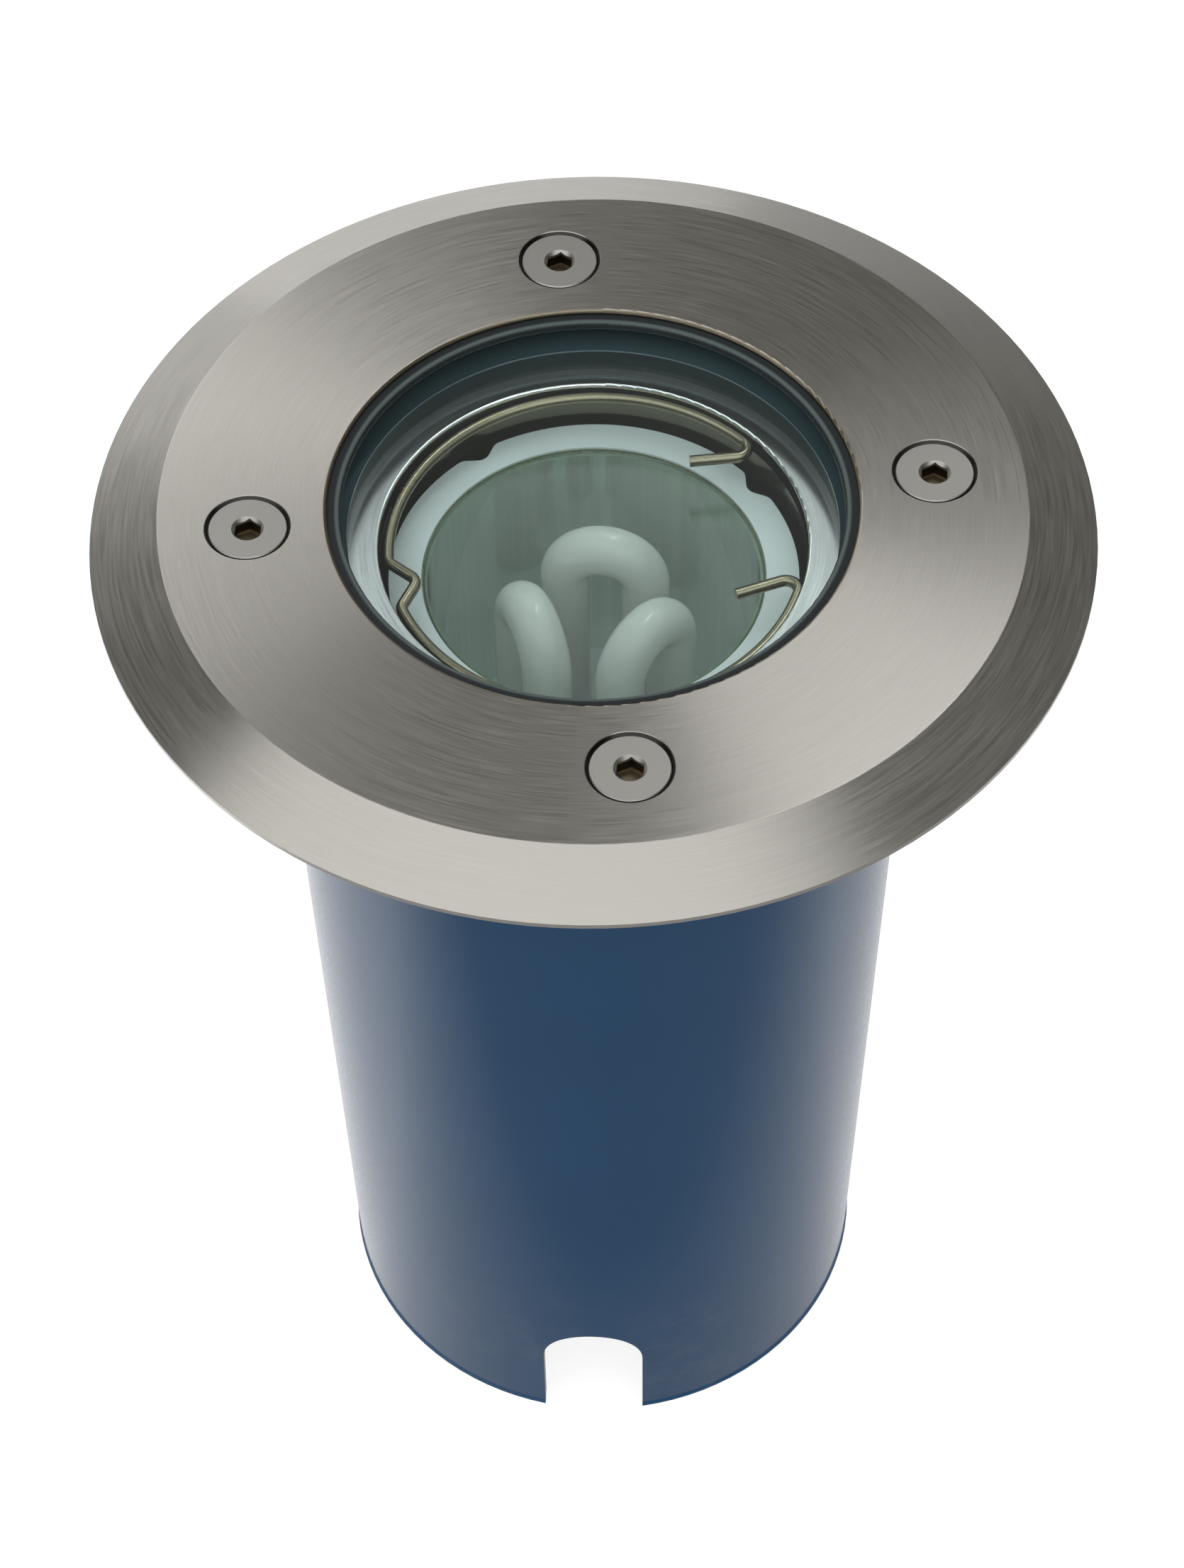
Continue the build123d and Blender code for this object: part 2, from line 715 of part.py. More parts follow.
# Holder contacts: a spring leaf on a foot, beside each pin head
with BuildPart() as holder_contacts:
    leaf_inner = pin_spacing / 2 + pin_head / 2 + contact_play
    foot_length = leaf_inner + contact_thickness - contact_foot
    foot_shift = (contact_foot_width - contact_width) / 2
    for side in (1, -1):
        with Locations((side * (leaf_inner + contact_thickness / 2), 0, holder_bottom)):
            Box(
                contact_thickness,
                contact_width,
                contact_height,
                align=(Align.CENTER, Align.CENTER, Align.MIN),
            )
        with Locations((side * (contact_foot + foot_length / 2), foot_shift, holder_bottom)):
            Box(
                foot_length,
                contact_foot_width,
                contact_thickness,
                align=(Align.CENTER, Align.CENTER, Align.MIN),
            )
holder_contacts.part.label = "holder_contacts"
export_step(holder_contacts.part, "parts/holder_contacts.step")

# Holder bracket: a bent sheet bridge over the terminal block
with BuildPart() as holder_bracket:
    half_span = bracket_span / 2
    with BuildSketch(Plane.XZ.offset(-bracket_leg_width / 2)):
        Polygon(
            (half_span + bracket_foot, bracket_foot_level),
            (half_span + bracket_foot, bracket_foot_level + sheet_thickness),
            (half_span, bracket_foot_level + sheet_thickness),
            (half_span, bracket_top),
            (-half_span, bracket_top),
            (-half_span, bracket_foot_level + sheet_thickness),
            (-half_span - bracket_foot, bracket_foot_level + sheet_thickness),
            (-half_span - bracket_foot, bracket_foot_level),
            (-half_span + sheet_thickness, bracket_foot_level),
            (-half_span + sheet_thickness, bracket_bottom),
            (half_span - sheet_thickness, bracket_bottom),
            (half_span - sheet_thickness, bracket_foot_level),
            align=None,
        )
    extrude(amount=bracket_leg_width)
    with Locations((0, 0, bracket_bottom)):
        Box(
            bracket_span - 2 * sheet_thickness,
            bracket_width,
            sheet_thickness,
            align=(Align.CENTER, Align.CENTER, Align.MIN),
        )
    with Locations((0, 0, bracket_top)):
        with GridLocations(1, holder_screw_spacing, 1, 2):
            Hole(small_screw_thread / 2 + small_hole_play, depth=sheet_thickness)
        with GridLocations(pole_pitch, 1, 2, 1):
            Hole(block_screw / 2 + thread_play, depth=sheet_thickness)
    with Locations((0, 0, bracket_foot_level + sheet_thickness)):
        with GridLocations(2 * bracket_screw_reach, 1, 2, 1):
            Hole(small_screw_thread / 2 + small_hole_play, depth=sheet_thickness)
holder_bracket.part.label = "holder_bracket"
export_step(holder_bracket.part, "parts/holder_bracket.step")

# Holder screws and nuts
with BuildPart() as holder_screws:
    head_seat = holder_top - head_recess
    shank_length = head_seat - bracket_bottom + small_nut_height + nut_overrun
    with Locations((0, 0, head_seat)):
        with GridLocations(1, holder_screw_spacing, 1, 2):
            Cylinder(
                small_screw_head / 2,
                small_screw_head_height,
                align=(Align.CENTER, Align.CENTER, Align.MIN),
            )
            Cylinder(
                small_screw_thread / 2 - thread_play,
                shank_length,
                align=(Align.CENTER, Align.CENTER, Align.MAX),
            )
holder_screws.part.label = "holder_screws"
export_step(holder_screws.part, "parts/holder_screws.step")

with BuildPart() as holder_nuts:
    with BuildSketch(Plane.XY.offset(bracket_bottom)):
        with GridLocations(1, holder_screw_spacing, 1, 2):
            RegularPolygon(radius=small_nut_width / 2, side_count=6, major_radius=False)
            Circle(small_screw_thread / 2, mode=Mode.SUBTRACT)
    extrude(amount=-small_nut_height)
holder_nuts.part.label = "holder_nuts"
export_step(holder_nuts.part, "parts/holder_nuts.step")

# Bracket screws
with BuildPart() as bracket_screws:
    with Locations((0, 0, bracket_foot_level + sheet_thickness)):
        with GridLocations(2 * bracket_screw_reach, 1, 2, 1):
            Cylinder(
                small_screw_head / 2,
                small_screw_head_height,
                align=(Align.CENTER, Align.CENTER, Align.MIN),
            )
            Cylinder(
                small_screw_thread / 2 - thread_play,
                bracket_screw_length,
                align=(Align.CENTER, Align.CENTER, Align.MAX),
            )
bracket_screws.part.label = "bracket_screws"
export_step(bracket_screws.part, "parts/bracket_screws.step")

# Terminal block: three poles across the bracket, hung under its plate
with BuildPart() as terminal_block:
    with Locations((0, 0, block_bottom)):
        Box(block_length, block_width, block_height, align=(Align.CENTER, Align.CENTER, Align.MIN))
    fillet(terminal_block.edges().filter_by(Axis.Z), radius=sheet_thickness)
    with BuildSketch(Plane.XZ.offset(-block_width / 2)):
        with Locations((-pole_pitch, pole_level), (0, pole_level), (pole_pitch, pole_level)):
            Circle(insert_diameter / 2 + insert_play)
    extrude(amount=block_width, mode=Mode.SUBTRACT)
    with BuildSketch(Plane.XY.offset(block_bottom)):
        with GridLocations(pole_pitch, clamp_screw_spacing, 3, 2):
            Circle(clamp_screw / 2 + insert_play)
    extrude(amount=pole_level - block_bottom, mode=Mode.SUBTRACT)
    with Locations((0, 0, bracket_bottom)):
        with GridLocations(pole_pitch, 1, 2, 1):
            Hole(block_screw / 2 + insert_play)
terminal_block.part.label = "terminal_block"
export_step(terminal_block.part, "parts/terminal_block.step")

# Terminal inserts: brass barrels for the wire ends
with BuildPart() as terminal_inserts:
    with BuildSketch(Plane.XZ.offset(-insert_length / 2)):
        with Locations((-pole_pitch, pole_level), (0, pole_level), (pole_pitch, pole_level)):
            Circle(insert_diameter / 2)
            Circle(insert_bore / 2, mode=Mode.SUBTRACT)
    extrude(amount=insert_length)
    with BuildSketch(Plane.XY.offset(block_bottom)):
        with GridLocations(pole_pitch, clamp_screw_spacing, 3, 2):
            Circle(clamp_screw / 2 + insert_play)
    extrude(amount=pole_level - block_bottom, mode=Mode.SUBTRACT)
terminal_inserts.part.label = "terminal_inserts"
export_step(terminal_inserts.part, "parts/terminal_inserts.step")

# Terminal screws: slotted, from below, each stopping at the wire
with BuildPart() as terminal_screws:
    clamp_bottom = block_bottom + clamp_screw_sink
    clamp_top = pole_level - lead_diameter / 2 - insert_play
    with BuildSketch(Plane.XY.offset(clamp_bottom)):
        with GridLocations(pole_pitch, clamp_screw_spacing, 3, 2):
            Circle(clamp_screw / 2)
    extrude(amount=clamp_top - clamp_bottom)
    with BuildSketch(Plane.XY.offset(clamp_bottom)):
        with GridLocations(pole_pitch, clamp_screw_spacing, 3, 2):
            Rectangle(clamp_slot, clamp_screw)
    extrude(amount=clamp_slot, mode=Mode.SUBTRACT)
terminal_screws.part.label = "terminal_screws"
export_step(terminal_screws.part, "parts/terminal_screws.step")

# Block screws: from below, into the bracket plate
with BuildPart() as block_screws:
    with Locations((0, 0, block_bottom)):
        with GridLocations(pole_pitch, 1, 2, 1):
            Cylinder(
                block_screw_head / 2,
                block_screw_head_height,
                align=(Align.CENTER, Align.CENTER, Align.MAX),
            )
            Cylinder(
                block_screw / 2,
                block_height + sheet_thickness / 2,
                align=(Align.CENTER, Align.CENTER, Align.MIN),
            )
block_screws.part.label = "block_screws"
export_step(block_screws.part, "parts/block_screws.step")

# Live and neutral leads: from the holder's channels, round the bracket, into the outer poles
lead_level = (holder_bottom + cover_bottom) / 2
for label, side in (("live_lead", 1), ("neutral_lead", -1)):
    with BuildPart() as lead:
        with BuildLine() as lead_route:
            FilletPolyline(
                (side * lead_offset, contact_foot, lead_level),
                (side * lead_offset, lead_outreach, lead_level),
                (side * pole_pitch, lead_outreach, pole_level),
                (side * pole_pitch, lead_entry, pole_level),
                radius=lead_bend,
            )
        with BuildSketch(Plane(origin=lead_route.line @ 0, z_dir=lead_route.line % 0)):
            Circle(lead_diameter / 2)
        sweep()
    lead.part.label = label
    export_step(lead.part, f"parts/{label}.step")

# Earth tag: a ring terminal on the floor boss, with its barrel towards the block
barrel_end = earth_reach - earth_tag_diameter / 2 - earth_barrel_length
barrel_level = bracket_foot_level + earth_barrel_diameter / 2
with BuildPart() as earth_tag:
    with BuildSketch(Plane.XY.offset(bracket_foot_level)):
        with Locations((0, earth_reach)):
            Circle(earth_tag_diameter / 2)
        with Locations((0, earth_reach - earth_tag_diameter / 2)):
            Rectangle(earth_barrel_diameter, earth_tag_diameter / 2)
        with Locations((0, earth_reach)):
            Circle(earth_screw_thread / 2 + small_hole_play, mode=Mode.SUBTRACT)
    extrude(amount=earth_tag_thickness)
    with BuildSketch(Plane.XZ.offset(-barrel_end)):
        with Locations((0, barrel_level)):
            Circle(earth_barrel_diameter / 2)
    extrude(amount=-earth_barrel_length)
    with BuildSketch(Plane.XZ.offset(-barrel_end)):
        with Locations((0, barrel_level)):
            Circle(lead_diameter / 2 + insert_play)
    extrude(amount=-earth_barrel_bore, mode=Mode.SUBTRACT)
earth_tag.part.label = "earth_tag"
export_step(earth_tag.part, "parts/earth_tag.step")

# Earth lead: from the middle pole down to the tag
with BuildPart() as earth_lead:
    with BuildLine() as earth_route:
        FilletPolyline(
            (0, lead_entry, pole_level),
            (0, earth_lead_drop_reach, pole_level),
            (0, earth_lead_drop_reach, barrel_level),
            (0, barrel_end + earth_barrel_length / 2, barrel_level),
            radius=earth_lead_bend,
        )
    with BuildSketch(Plane(origin=earth_route.line @ 0, z_dir=earth_route.line % 0)):
        Circle(lead_diameter / 2)
    sweep()
earth_lead.part.label = "earth_lead"
export_step(earth_lead.part, "parts/earth_lead.step")

# Earth washer and screw
tag_top = bracket_foot_level + earth_tag_thickness
with BuildPart() as earth_washer:
    with BuildSketch(Plane.XY.offset(tag_top)):
        with Locations((0, earth_reach)):
            Circle(earth_screw_head / 2)
            Circle(earth_screw_thread / 2 + small_hole_play, mode=Mode.SUBTRACT)
    extrude(amount=earth_washer_thickness)
earth_washer.part.label = "earth_washer"
export_step(earth_washer.part, "parts/earth_washer.step")

with BuildPart() as earth_screw:
    with Locations((0, earth_reach, tag_top + earth_washer_thickness)):
        Cylinder(
            earth_screw_head / 2,
            earth_screw_head_height,
            align=(Align.CENTER, Align.CENTER, Align.MIN),
        )
        Cylinder(
            earth_screw_thread / 2 - thread_play,
            earth_screw_length,
            align=(Align.CENTER, Align.CENTER, Align.MAX),
        )
earth_screw.part.label = "earth_screw"
export_step(earth_screw.part, "parts/earth_screw.step")

# Cable gland: washer, body, rubber seal and nut under the pot
washer_bottom = gland_seat - gland_washer_thickness
hex_bottom = washer_bottom - gland_hex_height
neck_end = hex_bottom - gland_neck_length
thread_radius = gland_thread / 2
with BuildPart() as gland_washer:
    with BuildSketch(Plane.XY.offset(gland_seat)):
        Circle(gland_washer_diameter / 2)
        Circle(thread_radius + thread_play, mode=Mode.SUBTRACT)
    extrude(amount=-gland_washer_thickness)
gland_washer.part.label = "gland_washer"
export_step(gland_washer.part, "parts/gland_washer.step")

with BuildPart() as gland_body:
    with BuildSketch(Plane.XY.offset(neck_end)):
        Circle(thread_radius)
    extrude(amount=floor_level - neck_end)
    with BuildSketch(Plane.XY.offset(hex_bottom)):
        RegularPolygon(radius=gland_hex / 2, side_count=6, major_radius=False)
    extrude(amount=gland_hex_height)
    with Locations((0, 0, floor_level)):
        Hole(gland_bore / 2)
    with Locations((0, 0, neck_end + gland_seal_length)):
        Hole(gland_seal_diameter / 2 + gland_seal_play)
gland_body.part.label = "gland_body"
export_step(gland_body.part, "parts/gland_body.step")

with BuildPart() as gland_seal:
    with BuildSketch(Plane.XY.offset(neck_end)):
        Circle(gland_seal_diameter / 2)
        Circle(gland_seal_bore / 2, mode=Mode.SUBTRACT)
    extrude(amount=gland_seal_length)
gland_seal.part.label = "gland_seal"
export_step(gland_seal.part, "parts/gland_seal.step")

with BuildPart() as gland_nut:
    nut_top = hex_bottom - gland_nut_gap
    nut_bottom = neck_end - gland_nut_play - gland_nut_crown
    with BuildSketch(Plane.XY.offset(nut_bottom)):
        RegularPolygon(radius=gland_hex / 2, side_count=6, major_radius=False)
    extrude(amount=nut_top - nut_bottom)
    with Locations((0, 0, nut_top)):
        Hole(thread_radius + gland_nut_play, depth=nut_top - neck_end + gland_nut_play)
        Hole(gland_bore / 2)
    outer_edges = gland_nut.faces().sort_by(Axis.Z)[0].outer_wire().edges()
    chamfer(outer_edges, length=gland_nut_chamfer)
gland_nut.part.label = "gland_nut"
export_step(gland_nut.part, "parts/gland_nut.step")
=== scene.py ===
import json
import math

import bpy
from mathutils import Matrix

# Looks of the recessed ground light: materials, floor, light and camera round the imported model.
# Everything is in metres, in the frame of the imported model: +Z up, cable notch towards -Y.

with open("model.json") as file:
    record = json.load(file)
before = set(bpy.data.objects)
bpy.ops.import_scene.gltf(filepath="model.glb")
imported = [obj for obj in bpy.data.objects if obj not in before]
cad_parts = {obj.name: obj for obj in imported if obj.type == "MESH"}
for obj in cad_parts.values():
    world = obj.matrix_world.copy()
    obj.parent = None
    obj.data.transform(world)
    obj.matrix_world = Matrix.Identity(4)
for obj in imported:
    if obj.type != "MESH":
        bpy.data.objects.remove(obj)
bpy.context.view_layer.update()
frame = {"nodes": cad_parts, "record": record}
nodes = frame["nodes"]

# Levels, radii and angles of the model that the materials and the light use
FLOOR_LEVEL = -0.1461
BEZEL_TOP = 0.0043
OPENING_RADIUS = 0.0311
OPENING_ROUND = 0.0004
SHELF_LEVEL = -0.0056
BORE_RADIUS = 0.02545
POCKET_RADIUS = 0.03495
POCKET_FOOT = -0.0098
POT_FLOOR = -0.1115
GROOVE_TOP = -0.0061
GROOVE_BOTTOM = -0.0081
SCREW_CIRCLE = 0.0403
SCREW_TURN = 7.9
SCREW_HEAD_TOP = 0.0041
SOCKET_FLOOR = 0.0019
SOCKET_RADIUS = 0.0019
COUNTERSINK_RADIUS = 0.0051
LAMP_GLASS_EDGE = 0.0202
GLASS_TOP = 0.0028
GLASS_BOTTOM = -0.0032
GASKET_OPENING = 0.0295

# Widths over which one finish of a node passes into the next
FINE_STEP = 0.0001
WIDE_STEP = 0.0002
COARSE_STEP = 0.0003

# Part of the range of a noise texture that the materials use
NOISE_LOW = 0.3
NOISE_HIGH = 0.7

# Turn that lays the long side of the brushed reflections across the circles of brushing
BRUSH_TURN = 0.25

# Camera, from the circles of the bezel in the photograph
CAMERA_PLACE = (0.01400, -0.30228, 0.33162)
CAMERA_TURN = (38.472, 0.561, 2.062)
CAMERA_LENS = 87.51
CAMERA_SENSOR = 36.0

# World: its white horizon ends between these heights of a unit direction, below a dark ceiling.
# The horizon is darker on the right. Under the glass, the ceiling is brighter on the right.
HORIZON_START = 0.08
HORIZON_END = 0.16
HORIZON_RIGHT = 0.35
HORIZON_TURN = (-0.10, 0.35)
INNER_LEFT = 0.31
INNER_RIGHT = 0.66
INNER_TURN = (-0.14, 0.08)
CEILING_LEVEL = 0.050
CEILING_COLOUR = (1.06, 1.0, 0.74)
INNER_FILL = 0.50
FILL_LEVEL = 0.56

# Floor: its size, its grey under the lamps and its glow, which fades in reflections between these places
FLOOR_SIZE = 6.0
FLOOR_GREY = (0.35, 0.35, 0.35, 1.0)
FLOOR_GLOW = 0.85
FLOOR_SLANT = -0.35
FLOOR_FRONT = (-0.06, 0.0)
FLOOR_RIGHT = (-0.02, 0.14)
FLOOR_RIGHT_LEVEL = 0.6


def node(tree, kind, settings=None, **inputs):
    """A new shader node with its settings and the values of its input sockets."""
    made = tree.nodes.new(kind)
    for key, value in (settings or {}).items():
        setattr(made, key, value)
    for key, value in inputs.items():
        made.inputs[key].default_value = value
    return made


def math_node(tree, operation, first, second=None):
    """The output of a math node; each operand is a number or an output socket."""
    made = tree.nodes.new("ShaderNodeMath")
    made.operation = operation
    for index, operand in enumerate((first, second)):
        if operand is None:
            continue
        if isinstance(operand, (int, float)):
            made.inputs[index].default_value = operand
        else:
            tree.links.new(operand, made.inputs[index])
    return made.outputs[0]


def object_place(tree):
    """The place of a point in the frame of its own body, in metres."""
    return tree.nodes.new("ShaderNodeTexCoord").outputs["Object"]


def split(tree, place):
    """The X, Y and Z outputs of a place or a direction."""
    parts = tree.nodes.new("ShaderNodeSeparateXYZ")
    tree.links.new(place, parts.inputs[0])
    return parts.outputs


def ring_place(tree, round_scale, radial_scale, level_scale):
    """A place that changes slowly round the axis and fast across it; also the radius and the level."""
    parts = split(tree, object_place(tree))
    square_x = math_node(tree, "MULTIPLY", parts["X"], parts["X"])
    square_y = math_node(tree, "MULTIPLY", parts["Y"], parts["Y"])
    radius = math_node(tree, "SQRT", math_node(tree, "ADD", square_x, square_y))
    across = math_node(tree, "MULTIPLY", radius, radial_scale)
    along = math_node(tree, "MULTIPLY", parts["Z"], level_scale)
    joined = tree.nodes.new("ShaderNodeCombineXYZ")
    for axis in ("X", "Y"):
        share = math_node(tree, "DIVIDE", parts[axis], radius)
        tree.links.new(math_node(tree, "MULTIPLY", share, round_scale), joined.inputs[axis])
    tree.links.new(math_node(tree, "ADD", across, along), joined.inputs["Z"])
    return joined.outputs[0], radius, parts["Z"]


def screw_distance(tree):
    """The distance of a point from the nearest cover screw's axis, in metres."""
    turned = node(tree, "ShaderNodeVectorRotate", {"rotation_type": "Z_AXIS"})
    turned.inputs["Angle"].default_value = -math.radians(SCREW_TURN)
    tree.links.new(object_place(tree), turned.inputs["Vector"])
    parts = split(tree, turned.outputs[0])
    size_x = math_node(tree, "ABSOLUTE", parts["X"])
    size_y = math_node(tree, "ABSOLUTE", parts["Y"])
    outward = math_node(tree, "SUBTRACT", math_node(tree, "MAXIMUM", size_x, size_y), SCREW_CIRCLE)
    sideways = math_node(tree, "MINIMUM", size_x, size_y)
    outward = math_node(tree, "MULTIPLY", outward, outward)
    sideways = math_node(tree, "MULTIPLY", sideways, sideways)
    return math_node(tree, "SQRT", math_node(tree, "ADD", outward, sideways))


def noise(tree, place, scale, detail=2.0, roughness=0.5):
    """The grey value of a noise texture at that place."""
    made = node(tree, "ShaderNodeTexNoise", Scale=scale, Detail=detail, Roughness=roughness)
    tree.links.new(place, made.inputs["Vector"])
    return made.outputs["Fac"]


def spread(tree, value, low, high, start=0.0, end=1.0):
    """Maps a value from start..end to low..high."""
    made = tree.nodes.new("ShaderNodeMapRange")
    made.clamp = True
    made.inputs["From Min"].default_value = start
    made.inputs["From Max"].default_value = end
    made.inputs["To Min"].default_value = low
    made.inputs["To Max"].default_value = high
    tree.links.new(value, made.inputs["Value"])
    return made.outputs["Result"]


def blend(tree, share, first, second):
    """The colour between two colours; each is a colour or an output socket."""
    made = tree.nodes.new("ShaderNodeMix")
    made.data_type = "RGBA"
    tree.links.new(share, made.inputs["Factor"])
    for name, colour in (("A", first), ("B", second)):
        socket = [s for s in made.inputs if s.name == name and s.type == "RGBA"][0]
        if isinstance(colour, tuple):
            socket.default_value = (*colour, 1.0)
        else:
            tree.links.new(colour, socket)
    return [s for s in made.outputs if s.type == "RGBA"][0]


def bump(tree, shader, height, distance, strength=1.0):
    """Gives the shader a relief of that height in metres."""
    made = node(tree, "ShaderNodeBump", Strength=strength, Distance=distance)
    tree.links.new(height, made.inputs["Height"])
    tree.links.new(made.outputs[0], shader.inputs["Normal"])


def principled(name, **values):
    """A material with one principled shader and those plain values on its sockets."""
    material = bpy.data.materials.new(name)
    material.use_nodes = True
    tree = material.node_tree
    shader = tree.nodes["Principled BSDF"]
    for key, value in values.items():
        shader.inputs[key.replace("_", " ")].default_value = value
    return material, tree, shader


def shaded(colour, factor):
    """A colour made darker or lighter by one factor."""
    return tuple(channel * factor for channel in colour)


def tinted(tree, share, colour, low, high):
    """The colour between a darker and a lighter tone of one colour."""
    return blend(tree, share, shaded(colour, low), shaded(colour, high))


def brush_round(tree, shader):
    """Lays the shader's brushing in circles round the axis."""
    tangent = node(tree, "ShaderNodeTangent", {"direction_type": "RADIAL", "axis": "Z"})
    tree.links.new(tangent.outputs[0], shader.inputs["Tangent"])


def brushed_ring(name, colour, roughness, streaks):
    """Steel brushed in circles round the axis, with painted shade in the countersinks and on the
    opening's wall, and a dim warm tone painted on the opening's rounded edge in place of its highlight.
    """
    # Dim warm brown of the opening's rounded edge: a painted tone that stands in for the edge's
    # highlight.
    painted_edge_tone = (0.34, 0.30, 0.22)
    material, tree, shader = principled(
        name, Metallic=1.0, Anisotropic=0.85, Anisotropic_Rotation=BRUSH_TURN
    )
    place, radius, level = ring_place(tree, 6.0, streaks, streaks)
    streak = noise(tree, place, 1.0, detail=4.0, roughness=0.6)
    tint = spread(tree, streak, 0.0, 1.0, NOISE_LOW, NOISE_HIGH)
    body = tinted(tree, tint, colour, 0.93, 1.05)
    # Painted shade: the countersinks and the opening's wall below its rounded edge are darkened to a
    # tenth of the steel's colour.
    sunk = spread(tree, level, 1.0, 0.0, BEZEL_TOP - 0.00010, BEZEL_TOP - 0.00004)
    hole_edge = COUNTERSINK_RADIUS + FINE_STEP
    in_hole = spread(tree, screw_distance(tree), 1.0, 0.0, COUNTERSINK_RADIUS, hole_edge)
    wall_top = BEZEL_TOP - OPENING_ROUND
    below_edge = spread(tree, level, 1.0, 0.0, wall_top - FINE_STEP, wall_top + FINE_STEP)
    wall_start = OPENING_RADIUS + FINE_STEP
    at_wall = spread(tree, radius, 1.0, 0.0, wall_start, wall_start + WIDE_STEP)
    dark = math_node(
        tree,
        "MAXIMUM",
        math_node(tree, "MULTIPLY", sunk, in_hole),
        math_node(tree, "MULTIPLY", below_edge, at_wall),
    )
    # Painted highlight tone: the rounded edge of the opening is blended towards a dim warm brown.
    round_start = OPENING_RADIUS + WIDE_STEP
    at_round = spread(tree, radius, 1.0, 0.0, round_start, OPENING_RADIUS + OPENING_ROUND)
    body = blend(tree, at_round, body, painted_edge_tone)
    tree.links.new(blend(tree, dark, body, shaded(colour, 0.10)), shader.inputs["Base Color"])
    rough = spread(tree, streak, roughness - 0.04, roughness + 0.05, NOISE_LOW, NOISE_HIGH)
    tree.links.new(rough, shader.inputs["Roughness"])
    brush_round(tree, shader)
    bump(tree, shader, streak, 0.00002, 0.25)
    return material


def plain_metal(name, colour, roughness):
    """Plain metal with faint handling marks."""
    material, tree, shader = principled(name, Metallic=1.0)
    mark = noise(tree, object_place(tree), 200.0, detail=3.0)
    tint = spread(tree, mark, 0.0, 1.0, NOISE_LOW, NOISE_HIGH)
    tree.links.new(tinted(tree, tint, colour, 0.94, 1.04), shader.inputs["Base Color"])
    rough = spread(tree, mark, roughness - 0.02, roughness + 0.03, NOISE_LOW, NOISE_HIGH)
    tree.links.new(rough, shader.inputs["Roughness"])
    return material


def drawn_silver(name, colour, roughness):
    """A silvered wall under clear lacquer, with faint marks that run along the axis."""
    material, tree, shader = principled(name, Metallic=0.75, Coat_Weight=1.0)
    mark = noise(tree, ring_place(tree, 14.0, 0.0, 6.0)[0], 1.0, detail=4.0, roughness=0.6)
    tint = spread(tree, mark, 0.0, 1.0, 0.35, 0.65)
    tree.links.new(tinted(tree, tint, colour, 0.95, 1.04), shader.inputs["Base Color"])
    rough = spread(tree, mark, roughness + 0.03, roughness - 0.02, NOISE_LOW, NOISE_HIGH)
    tree.links.new(rough, shader.inputs["Roughness"])
    return material


def gasket_with_painted_light(name, colour, roughness):
    """Dark rubber with painted light: a painted paler tone where the glass sits, painted shade on the
    wall below the glass and on the upper lip, and a painted highlight along the lip's rounded inner
    edge.
    """
    # Pale grey-blue of the lip's rounded inner edge: a painted highlight.
    painted_edge_tone = (0.075, 0.099, 0.099)
    glint_width = 0.0008
    seat_width = 0.004
    dull_roughness = 0.6
    material, tree, shader = principled(name, IOR=1.45)
    place, radius, level = ring_place(tree, 3.0, 3000.0, 3000.0)
    line = noise(tree, place, 1.0, detail=3.0)
    tint = spread(tree, line, 0.0, 1.0, NOISE_LOW, NOISE_HIGH)
    on_lip = spread(tree, level, 0.0, 1.0, GLASS_TOP - FINE_STEP, GLASS_TOP + FINE_STEP)
    outward = spread(tree, radius, 0.0, 1.0, GASKET_OPENING, GASKET_OPENING + seat_width)
    # Painted light: beside the glass the rubber is painted up to 3.1 times paler near the opening, back
    # to its plain colour further out.
    seat = blend(tree, outward, shaded(colour, 3.1), colour)
    # Painted shade: the wall below the glass is darkened to about two fifths of the rubber's colour.
    wall = tinted(tree, tint, colour, 0.36, 0.44)
    wall_top = GLASS_BOTTOM - FINE_STEP
    below_seat = spread(tree, level, 1.0, 0.0, wall_top - WIDE_STEP, wall_top)
    body = blend(tree, below_seat, seat, wall)
    # Painted shade: the upper lip is darkened to a quarter of the rubber's colour.
    body = blend(tree, on_lip, body, shaded(colour, 0.25))
    # Painted highlight: a thin pale line along the upper lip's rounded inner edge.
    glint_start = GASKET_OPENING + FINE_STEP
    glint_end = GASKET_OPENING + glint_width
    from_inside = spread(tree, radius, 0.0, 1.0, glint_start, glint_start + WIDE_STEP)
    to_outside = spread(tree, radius, 1.0, 0.0, glint_end - COARSE_STEP, glint_end)
    edge_glint = math_node(tree, "MULTIPLY", from_inside, to_outside)
    edge_glint = math_node(tree, "MULTIPLY", edge_glint, on_lip)
    body = blend(tree, edge_glint, body, painted_edge_tone)
    tree.links.new(body, shader.inputs["Base Color"])
    rough = spread(tree, line, roughness - 0.05, roughness + 0.07, NOISE_LOW, NOISE_HIGH)
    dull = math_node(tree, "MAXIMUM", on_lip, below_seat)
    dull_rough = math_node(tree, "MULTIPLY", dull, dull_roughness)
    rough = math_node(tree, "MAXIMUM", rough, dull_rough)
    tree.links.new(rough, shader.inputs["Roughness"])
    return material


